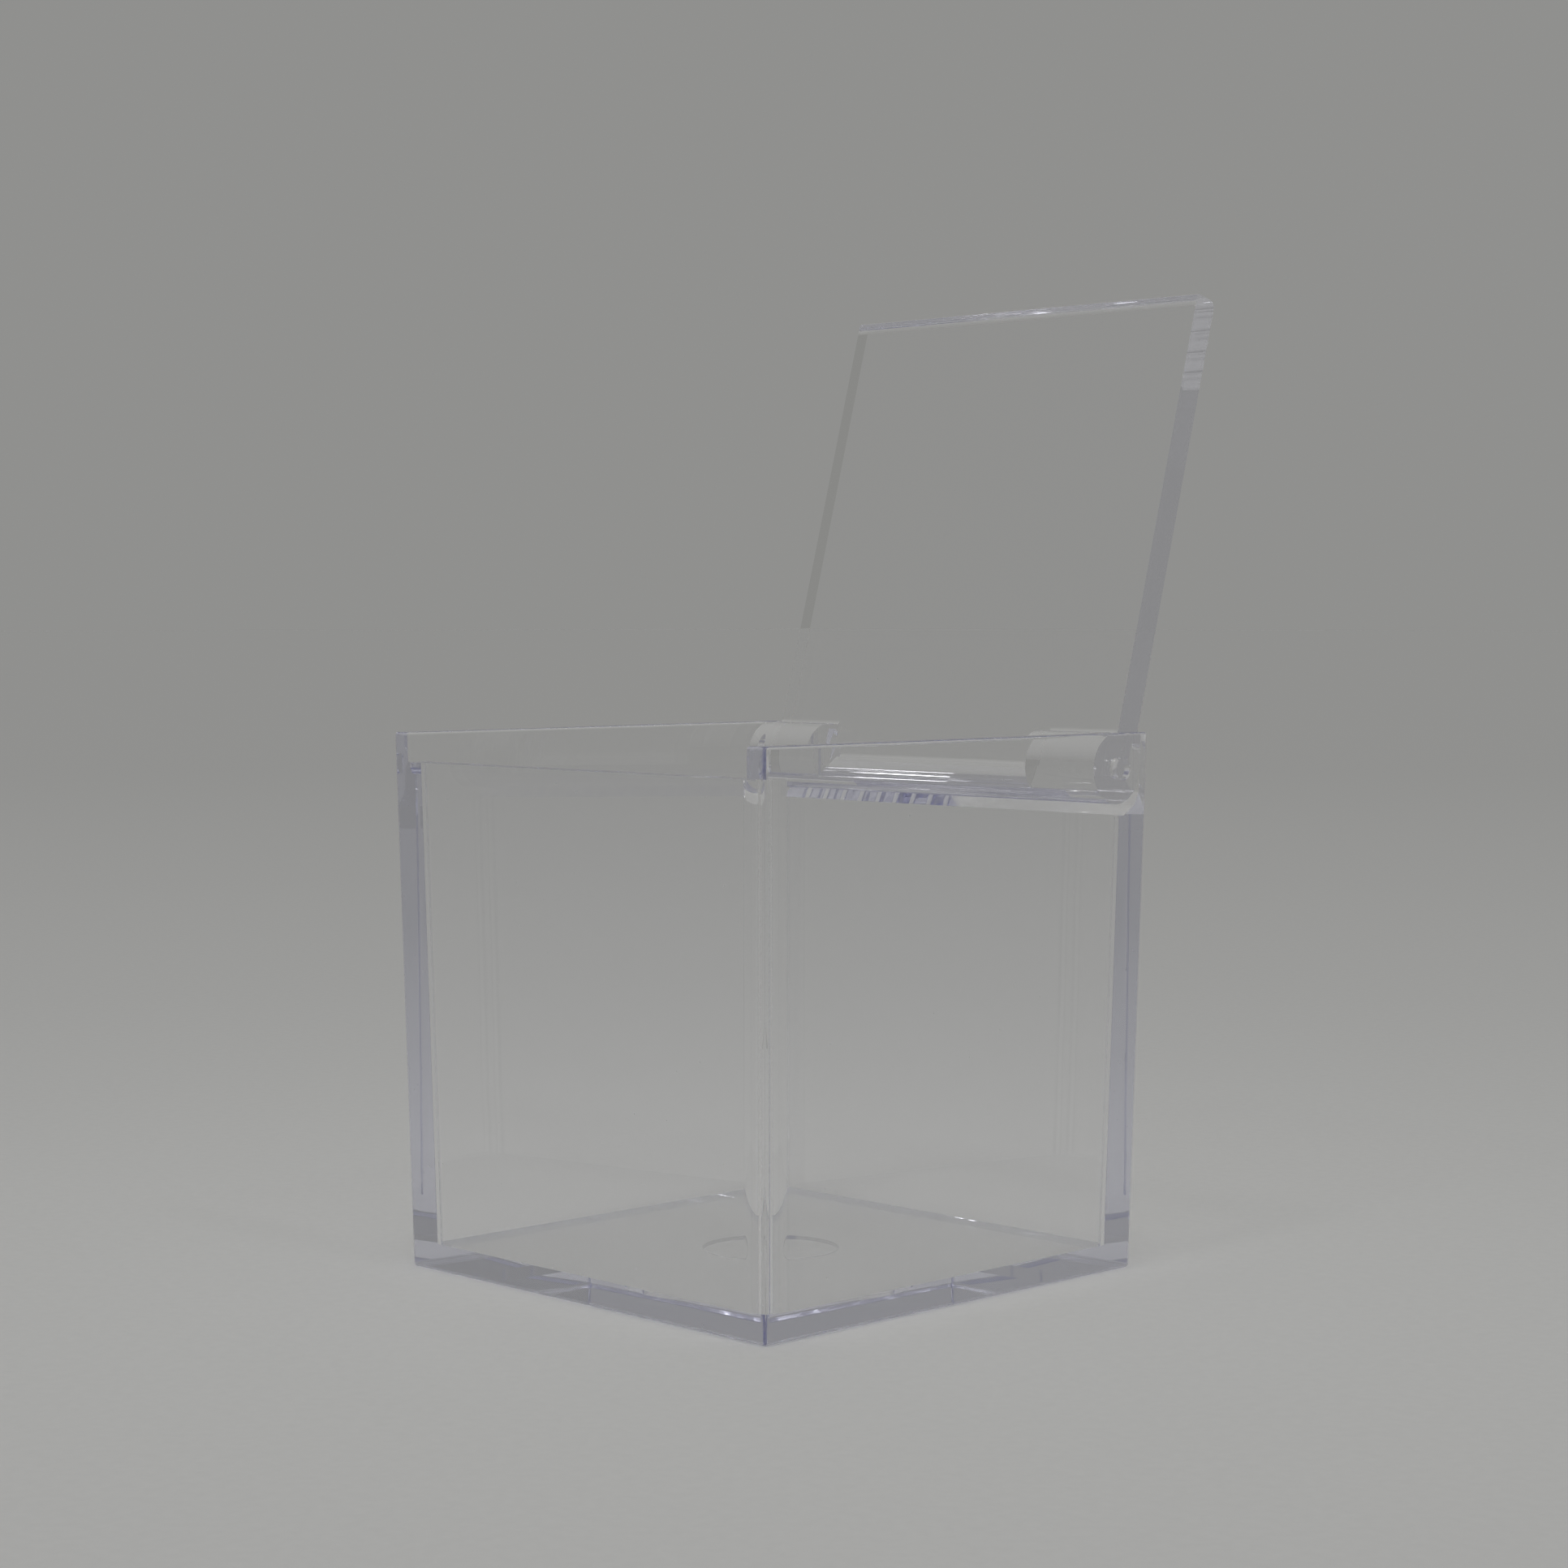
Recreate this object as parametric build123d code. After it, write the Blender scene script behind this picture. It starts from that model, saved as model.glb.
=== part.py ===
from build123d import *
from math import cos, radians, sin, tan
import os

# Clear hinged display cube, injection moulded in crystal polystyrene: an open box, and the
# lid that snaps into it on two pivot nubs. Millimetres, +Z up. The origin is the middle of
# the underside, X runs along the hinge, the front wall is on -Y and the hinge wall on +Y.
# The lid is drawn closed and then turned about the hinge to its open stop, its rest pose.

# ---- driving sizes of the box ------------------------------------------------------------
box_height = 50.0           # underside to the rim of the side walls
base_width = 47.5           # outside, along the hinge axis, at the underside
base_depth = 47.5           # outside, front to back, at the underside
draft_angle = 1.2           # every wall leans out this much so that the box leaves its mould
wall = 2.1                  # thickness of the four walls
floor_thickness = 2.3
front_drop = 2.75           # the front wall stops this far below the rim, under the lid
inner_corner_radius = 1.5   # inside vertical corners
outer_edge_radius = 0.5     # outside vertical corners
rim_edge_radius = 0.25      # edges of the rims of the side walls
foot_edge_radius = 0.35     # outside edge of the underside
gate_radius = 5.6           # round gate recess in the middle of the underside
gate_depth = 0.35

# ---- driving sizes of the lid ------------------------------------------------------------
lid_thickness = 2.73
lid_side_gap = 0.35         # lid to each side wall
lid_seat_gap = 0.02         # closed lid to the top of the front wall
lid_front_inset = 0.1       # front edge of the closed lid behind the face of the front wall
lid_front_radius = 0.8      # rounded top front edge
lid_edge_radius = 0.25      # the other edges of the lid
curl_angle = 40.0           # the rolled rear edge carries on this far below the axis
curl_root_radius = 0.5      # inside corner between the plate and the rolled edge

# ---- driving sizes of the hinge ----------------------------------------------------------
pivot_below_rim = 3.3       # hinge axis under the rim; the rolled edge turns about it
pivot_from_back = 2.9       # hinge axis in front of the back face of the box
ear_length = 8.3            # each hinge ear, along the hinge
ear_root_radius = 0.6       # where an ear runs into the plate
nub_radius = 1.0            # pivot nubs on the outer ends of the ears
nub_length = 1.25           # how far each nub stands out of its ear
nub_gap = 0.06              # nub to its socket, all round
nub_end_gap = 0.15          # nub tip to the bottom of its socket
open_angle = 105.5          # closed lid to the open stop
stop_gap = 0.05             # open lid to the stop, the outer lip of the hinge wall
hollow_drop = 1.08          # inside edge of the hinge wall below the underside of the rolled edge
hollow_slope = 33.0         # the top of the hinge wall rises outwards at this angle
lip_root = 0.6              # thickness of the lip where the slope meets it

# ---- places worked out from them ---------------------------------------------------------
flare = tan(radians(draft_angle))
wall_across = wall / cos(radians(draft_angle))


def half_width(z):
    """Outer half width of the box at height z."""
    return base_width / 2 + z * flare


def half_depth(z):
    """Outer half depth of the box at height z."""
    return base_depth / 2 + z * flare


pivot_z = box_height - pivot_below_rim
pivot_y = half_depth(pivot_z) - pivot_from_back
front_top = box_height - front_drop
lid_bottom = front_top + lid_seat_gap
lid_top = lid_bottom + lid_thickness
curl_radius = lid_top - pivot_z
lid_half = half_width(front_top) - wall_across - lid_side_gap
lid_front = -half_depth(front_top) + lid_front_inset
ear_inner = lid_half - ear_length
hinge = Axis((0, pivot_y, pivot_z), (1, 0, 0))

# The open lid leans back until its outer face meets the lip of the hinge wall, so the lip
# is where the outer face of that wall comes within the stop gap of the open lid.
lean = radians(open_angle)
reach = curl_radius + stop_gap - (base_depth / 2 - pivot_y) * sin(lean) + pivot_z * cos(lean)
lip_z = reach / (flare * sin(lean) + cos(lean))
lip_y = half_depth(lip_z)
hollow_y = half_depth(pivot_z - curl_radius) - wall_across
hollow_z = pivot_z - curl_radius - hollow_drop
lip_foot_y = lip_y - lip_root
lip_foot_z = hollow_z + (lip_foot_y - hollow_y) * tan(radians(hollow_slope))


def flared_block(z0, z1, inset, radius):
    """A block between two heights with the flare of the walls, inset from their outside."""
    outlines = []
    for z in (z0, z1):
        width = 2 * (half_width(z) - inset)
        depth = 2 * (half_depth(z) - inset)
        outlines.append(Pos(0, 0, z) * RectangleRounded(width, depth, radius))
    return loft(Sketch() + outlines)


def flared_slot(z0, z1, y0, y1):
    """A slot as wide as the inside of the box, with its flare, to take the top off a wall."""
    outlines = []
    for z in (z0, z1):
        width = 2 * (half_width(z) - wall_across)
        outlines.append(Pos(0, (y0 + y1) / 2, z) * Rectangle(width, y1 - y0))
    return loft(Sketch() + outlines)


def hinge_cylinder(radius, x0, x1):
    """A cylinder on the hinge axis between two places along it."""
    return Pos((x0 + x1) / 2, pivot_y, pivot_z) * Rot(0, 90, 0) * Cylinder(radius, x1 - x0)


def side_rectangle(y0, y1, z0, z1):
    """A rectangle drawn in Y and Z."""
    return Pos((y0 + y1) / 2, (z0 + z1) / 2) * Rectangle(y1 - y0, z1 - z0)


def along_hinge(profile, x0, x1):
    """A profile drawn in Y and Z, run along the hinge from x0 to x1."""
    return extrude(Plane((x0, 0, 0), x_dir=(0, 1, 0), z_dir=(1, 0, 0)) * profile, x1 - x0)


def nearest(corners, y, z):
    """The corner of a profile nearest to a place."""
    return sorted(corners, key=lambda corner: abs(corner.X - y) + abs(corner.Y - z))[0]


def lid_profile():
    """The plate and its rolled rear edge, from the side."""
    plate = side_rectangle(lid_front, pivot_y, lid_bottom, lid_top)
    disc = Pos(pivot_y, pivot_z) * Circle(curl_radius)
    rear = side_rectangle(pivot_y, pivot_y + 2 * curl_radius, pivot_z - 2 * curl_radius, lid_top)
    past_end = Pos(pivot_y, pivot_z) * Rot(0, 0, -curl_angle)
    past_end *= Pos(curl_radius, -curl_radius) * Rectangle(6 * curl_radius, 2 * curl_radius)
    outline = plate + ((disc & rear) - past_end)
    end_y = pivot_y + curl_radius * cos(radians(curl_angle))
    end_z = pivot_z - curl_radius * sin(radians(curl_angle))
    outline = fillet(nearest(outline.vertices(), pivot_y, lid_bottom), curl_root_radius)
    outline = fillet(nearest(outline.vertices(), end_y, end_z), lid_edge_radius)
    outline = fillet(nearest(outline.vertices(), lid_front, lid_top), lid_front_radius)
    outline = fillet(nearest(outline.vertices(), lid_front, lid_bottom), lid_edge_radius)
    return outline


def ear_profile():
    """A hinge ear from the side: round about the pivot and straight up to the plate."""
    # the fillet can be no larger than the straight side of the ear
    root_radius = min(ear_root_radius, 0.9 * (lid_bottom - pivot_z))
    root = pivot_y - curl_radius - 2 * root_radius
    neck = side_rectangle(pivot_y - curl_radius, pivot_y, pivot_z, lid_top - lid_front_radius)
    sole = side_rectangle(root, pivot_y, lid_bottom, lid_top - lid_front_radius)
    outline = neck + sole + Pos(pivot_y, pivot_z) * Circle(curl_radius)
    return fillet(nearest(outline.vertices(), pivot_y - curl_radius, lid_bottom), root_radius)


def make_lid():
    """The lid, drawn closed."""
    lid = along_hinge(lid_profile(), -lid_half, lid_half)
    for x0, x1 in ((-lid_half, -ear_inner), (ear_inner, lid_half)):
        lid += along_hinge(ear_profile(), x0, x1)
    lid += hinge_cylinder(nub_radius, -lid_half - nub_length, -ear_inner - nub_length)
    lid += hinge_cylinder(nub_radius, ear_inner + nub_length, lid_half + nub_length)
    return lid


def make_box_body():
    """The open box: full-height side walls, a lower front wall and a low hinge wall."""
    above = 2 * box_height
    body = flared_block(0, box_height, 0, outer_edge_radius)
    body -= flared_block(floor_thickness, above, wall_across, inner_corner_radius)
    body -= flared_slot(front_top, above, -base_depth, 0)
    # the hinge wall: a hollowed top under the rolled edge, with a lip outside that stops the lid
    hollow = Polygon((0, hollow_z), (hollow_y, hollow_z), (lip_foot_y, lip_foot_z), (lip_y, lip_z),
                     (base_depth, lip_z), (base_depth, above), (0, above), align=None)
    hollow = along_hinge(hollow, -base_width, base_width)
    body -= flared_slot(floor_thickness, above, 0, base_depth) & hollow
    # blind sockets in the side walls for the pivot nubs
    tip = lid_half + nub_length + nub_end_gap
    body -= hinge_cylinder(nub_radius + nub_gap, -tip, tip)
    body = fillet(body.edges().group_by(Axis.Z)[0], foot_edge_radius)
    body = fillet(body.edges().group_by(Axis.Z)[-1], rim_edge_radius)
    body -= Pos(0, 0, gate_depth / 2) * Cylinder(gate_radius, gate_depth)
    return body


os.makedirs("parts", exist_ok=True)
box_body = make_box_body()
lid = make_lid().rotate(hinge, -open_angle)
export_step(box_body, "parts/box_body.step")
export_step(lid, "parts/lid.step")
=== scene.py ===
import math

import bmesh
import bpy
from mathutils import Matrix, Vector


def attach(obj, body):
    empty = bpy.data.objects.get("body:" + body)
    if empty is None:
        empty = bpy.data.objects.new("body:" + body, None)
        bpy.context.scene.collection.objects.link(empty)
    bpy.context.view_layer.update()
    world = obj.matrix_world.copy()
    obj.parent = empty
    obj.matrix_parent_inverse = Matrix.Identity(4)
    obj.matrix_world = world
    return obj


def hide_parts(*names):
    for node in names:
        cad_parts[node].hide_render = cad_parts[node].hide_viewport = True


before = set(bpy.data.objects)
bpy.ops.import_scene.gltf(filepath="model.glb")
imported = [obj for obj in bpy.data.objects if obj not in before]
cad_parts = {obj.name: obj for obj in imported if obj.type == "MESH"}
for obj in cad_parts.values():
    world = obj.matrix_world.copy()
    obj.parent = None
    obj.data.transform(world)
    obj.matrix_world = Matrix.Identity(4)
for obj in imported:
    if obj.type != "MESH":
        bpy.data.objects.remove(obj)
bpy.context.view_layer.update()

# ---- Box body -------------------------------------------------------------------------------
# One injection moulding in water-clear polystyrene with a trace of violet toner: a floor, two
# full-height side walls, a lower front wall and the hollowed hinge wall, 2.1 mm thick with
# 1.2 degrees of draft. It stands free on its flat underside.
refractive_index = 1.57
polish = 0.004                            # roughness of a face off a polished mould
scratch_haze = 0.10                       # added roughness in a hairline scratch
scratch_pitch = (60.0, 2600.0, 60.0)      # scratches are long one way and hair-thin the other
scratch_tilt = (0.3, 0.2)
scratch_edge = (0.70, 0.80)
dust_haze = 0.35                          # added roughness in a speck of dust
dust_cells = 420.0                        # one speck to a cell of about 2.4 mm
dust_edge = (0.035, 0.020)                # specks a tenth of a millimetre across
wave_height = 0.0000045                   # metres, the slight waviness of the mould faces
pattern_step = (0.013, 0.007, 0.003)


def clear_plastic(name, pattern, tint, density, wave_size, scratch_turn):
    """A clear moulding, faintly violet where light runs the length of a wall."""
    plastic = bpy.data.materials.new(name)
    plastic.use_nodes = True
    tree = plastic.node_tree
    tree.nodes.clear()
    link = tree.links.new

    def node(kind, operation=None, **sockets):
        made = tree.nodes.new(kind)
        if operation:
            made.operation = operation
        for socket, value in sockets.items():
            made.inputs[socket].default_value = value
        return made

    out = node("ShaderNodeOutputMaterial")
    surface = node("ShaderNodeBsdfPrincipled", IOR=refractive_index)
    surface.inputs["Base Color"].default_value = (1.0, 1.0, 1.0, 1.0)
    surface.inputs["Transmission Weight"].default_value = 1.0
    link(surface.outputs["BSDF"], out.inputs["Surface"])
    toner = node("ShaderNodeVolumeAbsorption", Color=(*tint, 1.0), Density=density)
    link(toner.outputs["Volume"], out.inputs["Volume"])

    # each piece gets its own stretch of the same patterns
    place = node("ShaderNodeTexCoord")
    shift = node("ShaderNodeMapping", Location=[step * pattern for step in pattern_step])
    link(place.outputs["Object"], shift.inputs["Vector"])

    # moulding waviness, as a very slight bump
    wave = node("ShaderNodeTexNoise", Scale=1.0 / wave_size, Detail=1.0, Roughness=0.4)
    link(shift.outputs["Vector"], wave.inputs["Vector"])
    bump = node("ShaderNodeBump", Strength=1.0, Distance=wave_height)
    link(wave.outputs["Fac"], bump.inputs["Height"])
    link(bump.outputs["Normal"], surface.inputs["Normal"])

    # hairline scratches, as noise drawn out along one direction
    rub = node("ShaderNodeMapping", Rotation=(*scratch_tilt, scratch_turn), Scale=scratch_pitch)
    link(shift.outputs["Vector"], rub.inputs["Vector"])
    hair = node("ShaderNodeTexNoise", Scale=1.0, Detail=2.0, Roughness=0.5)
    link(rub.outputs["Vector"], hair.inputs["Vector"])
    scratch = node("ShaderNodeMapRange")
    scratch.inputs["From Min"].default_value = scratch_edge[0]
    scratch.inputs["From Max"].default_value = scratch_edge[1]
    link(hair.outputs["Fac"], scratch.inputs["Value"])

    # dust, as rare round specks
    dust = node("ShaderNodeTexVoronoi", Scale=dust_cells)
    link(shift.outputs["Vector"], dust.inputs["Vector"])
    speck = node("ShaderNodeMapRange")
    speck.inputs["From Min"].default_value = dust_edge[0]
    speck.inputs["From Max"].default_value = dust_edge[1]
    link(dust.outputs["Distance"], speck.inputs["Value"])

    # roughness is the polish, plus the scratches, plus the dust
    scratched = node("ShaderNodeMath", "MULTIPLY_ADD")
    scratched.inputs[1].default_value = scratch_haze
    scratched.inputs[2].default_value = polish
    link(scratch.outputs["Result"], scratched.inputs[0])
    dusty = node("ShaderNodeMath", "MULTIPLY_ADD")
    dusty.inputs[1].default_value = dust_haze
    link(speck.outputs["Result"], dusty.inputs[0])
    link(scratched.outputs["Value"], dusty.inputs[2])
    link(dusty.outputs["Value"], surface.inputs["Roughness"])
    return plastic


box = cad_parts["box_body"]
box_clear = clear_plastic("box_clear", pattern=1, tint=(0.60, 0.61, 0.86), density=7.0,
                          wave_size=0.011, scratch_turn=0.5)
box.data.materials.clear()
box.data.materials.append(box_clear)

# ---- Lid ------------------------------------------------------------------------------------
# A flat 2.7 mm plate with a rolled rear edge, two solid ears and the pivot nubs, all one clear
# moulding. It snaps between the side walls and stands open against the hinge wall's lip. Its
# rounds are divided more finely here than in the plain model.
hinge_y, hinge_z = 0.021828, 0.0467
roll_radius, nub_radius = 0.0033, 0.001
open_angle = math.radians(105.5)
arc_parts = 6                # new steps for each old step of a round
same_point = 1e-7
on_round_within = 3e-6
shortest_step = 1e-5
longest_step = 0.35          # of the radius, so that no edge across the piece is taken
deepest_chord = 0.95         # of the radius
crease = math.radians(20.0)  # a sharper edge than this stays sharp
in_plane = 0.99997           # cosine between a face and the plane it lies in


def off_axis(vert):
    return math.hypot(vert.co.y - hinge_y, vert.co.z - hinge_z)


def turns(edge, radius):
    """The edge is one step along an arc of this radius about the hinge."""
    one, other = edge.verts
    across = math.hypot(one.co.y - other.co.y, one.co.z - other.co.z)
    at_radius = all(abs(off_axis(end) - radius) < on_round_within for end in edge.verts)
    return at_radius and shortest_step < across < longest_step * radius


def make_finer(mesh, radius):
    """Divides each step of the round and moves the new points out onto the true round."""
    steps = [edge for edge in mesh.edges if turns(edge, radius)]
    cut = bmesh.ops.subdivide_edges(mesh, edges=steps, cuts=arc_parts - 1, use_grid_fill=True)
    for vert in {new for new in cut["geom_inner"] if isinstance(new, bmesh.types.BMVert)}:
        reach = off_axis(vert)
        if deepest_chord * radius < reach < radius:
            vert.co.y = hinge_y + (vert.co.y - hinge_y) * radius / reach
            vert.co.z = hinge_z + (vert.co.z - hinge_z) * radius / reach


plain_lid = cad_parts["lid"]
lid_mesh = bmesh.new()
lid_mesh.from_mesh(plain_lid.data)
lid_mesh.transform(plain_lid.matrix_world)
bmesh.ops.remove_doubles(lid_mesh, verts=lid_mesh.verts, dist=same_point)
for radius in (roll_radius, nub_radius):
    make_finer(lid_mesh, radius)
bmesh.ops.triangulate(lid_mesh, faces=lid_mesh.faces)
lid_data = bpy.data.meshes.new("lid_clear_moulding")
lid_mesh.to_mesh(lid_data)
lid_mesh.free()
lid_data.set_sharp_from_angle(angle=crease)

# faces that lie in the plate's own planes stay flat, and only the rounds between them are smooth
end_plane = Vector((1.0, 0.0, 0.0))
plate_plane = Vector((0.0, -math.sin(open_angle), -math.cos(open_angle)))
front_plane = Vector((0.0, -math.cos(open_angle), math.sin(open_angle)))
for face in lid_data.polygons:
    match = max(abs(face.normal.dot(plane)) for plane in (end_plane, plate_plane, front_plane))
    face.use_smooth = match < in_plane

lid = bpy.data.objects.new("lid_moulding", lid_data)
bpy.context.scene.collection.objects.link(lid)
lid_clear = clear_plastic("lid_clear", pattern=4, tint=(0.62, 0.62, 0.80), density=6.0,
                          wave_size=0.013, scratch_turn=1.2)
lid_data.materials.append(lid_clear)
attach(lid, "cover")
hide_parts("lid")

# ---- Tabletop -------------------------------------------------------------------------------
# A plain pale matt sheet, not part of the object. Its tone is painted light: lighter near the
# object, like the pool from the overhead lamps, and darker with distance, so it runs into the
# grey surroundings without a horizon line.
sheet_size = 30.0
sheet_drop = 0.00002         # below the box's underside, so that the two faces don't touch
sheet_roughness = 0.9
# painted light: the sheet's tone by distance from the object, a painted pool of the overhead
# lamps
painted_light_at_distance = ((0.0, 0.855), (0.07, 0.83), (0.14, 0.785), (0.24, 0.742), (0.45, 0.731),
                    (1.0, 0.6745))
sheet_blue = 0.992           # the sheet is very slightly warm
grain_scale = 900.0
grain_range = (0.97, 1.03)

bpy.ops.mesh.primitive_plane_add(size=sheet_size, location=(0.0, 0.0, -sheet_drop))
table = bpy.context.object
table.name = "tabletop"
paper = bpy.data.materials.new("pale_sheet")
paper.use_nodes = True
nodes, join = paper.node_tree.nodes, paper.node_tree.links.new
sheet = nodes["Principled BSDF"]
sheet.inputs["Roughness"].default_value = sheet_roughness
sheet.inputs["Specular IOR Level"].default_value = 0.0
where = nodes.new("ShaderNodeTexCoord")
away = nodes.new("ShaderNodeVectorMath")
away.operation = "LENGTH"
join(where.outputs["Object"], away.inputs[0])
# painted light: this ramp paints the lamps' pool onto the sheet, lighter near the object and
# darker further off
painted_falloff = nodes.new("ShaderNodeValToRGB")
painted_falloff.color_ramp.interpolation = "B_SPLINE"
ramp = painted_falloff.color_ramp.elements
while len(ramp) < len(painted_light_at_distance):
    ramp.new(0.5)
for stop, (distance, tone) in zip(ramp, painted_light_at_distance):
    stop.position = distance
    stop.color = (tone, tone, tone * sheet_blue, 1.0)
join(away.outputs["Value"], painted_falloff.inputs["Fac"])
grain = nodes.new("ShaderNodeTexNoise")
grain.inputs["Scale"].default_value = grain_scale
grain.inputs["Detail"].default_value = 3.0
join(where.outputs["Object"], grain.inputs["Vector"])
speckle = nodes.new("ShaderNodeMapRange")
speckle.inputs["To Min"].default_value = grain_range[0]
speckle.inputs["To Max"].default_value = grain_range[1]
join(grain.outputs["Fac"], speckle.inputs["Value"])
# the painted light pool times the sheet's own random grain
painted_falloff_and_grain = nodes.new("ShaderNodeVectorMath")
painted_falloff_and_grain.operation = "SCALE"
join(painted_falloff.outputs["Color"], painted_falloff_and_grain.inputs[0])
join(speckle.outputs["Result"], painted_falloff_and_grain.inputs["Scale"])
join(painted_falloff_and_grain.outputs["Vector"], sheet.inputs["Base Color"])
table.data.materials.append(paper)

# ---- Light ----------------------------------------------------------------------------------
# A soft light tent: even grey surroundings, a little darker towards the right-hand back, a
# shadowless fill from above, and three small lamps overhead that give the small highlights.
tent_grey = (0.279, 0.279, 0.272, 1.0)
tent_dark = (0.245, 0.245, 0.236, 1.0)
dark_side = (0.7071, 0.7071, 0.0)
dark_from, dark_to = 0.3, 1.0
fill_power, fill_spread = 0.42, math.radians(40.0)
lamp_power, lamp_size = 0.075, 0.07
lamp_places = {"lamp_a": (0.05, -0.32, 0.52), "lamp_b": (0.36, -0.02, 0.50),
               "lamp_c": (0.10, -0.10, 0.62)}
lamp_target = Vector((0.0, 0.0, 0.045))

world = bpy.data.worlds.new("tent")
bpy.context.scene.world = world
world.use_nodes = True
air = world.node_tree.nodes["Background"]
air.inputs["Strength"].default_value = 1.0
tent_nodes, tent_join = world.node_tree.nodes, world.node_tree.links.new
facing = tent_nodes.new("ShaderNodeTexCoord")
side = tent_nodes.new("ShaderNodeVectorMath")
side.operation = "DOT_PRODUCT"
side.inputs[1].default_value = dark_side
tent_join(facing.outputs["Generated"], side.inputs[0])
dimmer = tent_nodes.new("ShaderNodeMapRange")
dimmer.interpolation_type = "SMOOTHSTEP"
dimmer.inputs["From Min"].default_value = dark_from
dimmer.inputs["From Max"].default_value = dark_to
tent_join(side.outputs["Value"], dimmer.inputs["Value"])
tent = tent_nodes.new("ShaderNodeMix")
tent.data_type = "RGBA"
tent.inputs["A"].default_value = tent_grey
tent.inputs["B"].default_value = tent_dark
tent_join(dimmer.outputs["Result"], tent.inputs["Factor"])
tent_join(tent.outputs["Result"], air.inputs["Color"])

fill = bpy.data.lights.new("fill", "SUN")
fill.energy = fill_power
fill.angle = fill_spread
fill.use_shadow = False
fill.cycles.use_multiple_importance_sampling = False
fill_lamp = bpy.data.objects.new("fill", fill)
bpy.context.scene.collection.objects.link(fill_lamp)

for name, place in lamp_places.items():
    lamp = bpy.data.lights.new(name, "AREA")
    lamp.shape = "DISK"
    lamp.size = lamp_size
    lamp.energy = lamp_power
    shining = bpy.data.objects.new(name, lamp)
    bpy.context.scene.collection.objects.link(shining)
    shining.location = place
    shining.rotation_mode = "QUATERNION"
    shining.rotation_quaternion = (lamp_target - shining.location).to_track_quat("-Z", "Y")

# ---- Camera ---------------------------------------------------------------------------------
# Nearly level with the rim, looking at the vertical edge between the front and right walls.
lens = bpy.data.cameras.new("camera")
lens.lens = 73.4
lens.sensor_width = 36.0
lens.clip_start = 0.01
camera = bpy.data.objects.new("camera", lens)
bpy.context.scene.collection.objects.link(camera)
camera.location = (0.21255, -0.2067, 0.0604)
camera.rotation_euler = (math.radians(87.06), 0.0, math.radians(45.56))
bpy.context.scene.camera = camera

# Light has to cross many clear faces before it leaves, so paths are allowed to run long.
cycles = bpy.context.scene.cycles
cycles.max_bounces = 200
cycles.transmission_bounces = 100
cycles.glossy_bounces = 160
cycles.diffuse_bounces = 3
cycles.volume_bounces = 2
cycles.transparent_max_bounces = 16
cycles.caustics_refractive = True
cycles.caustics_reflective = True
cycles.blur_glossy = 0.0
bpy.context.scene.view_settings.view_transform = "Standard"
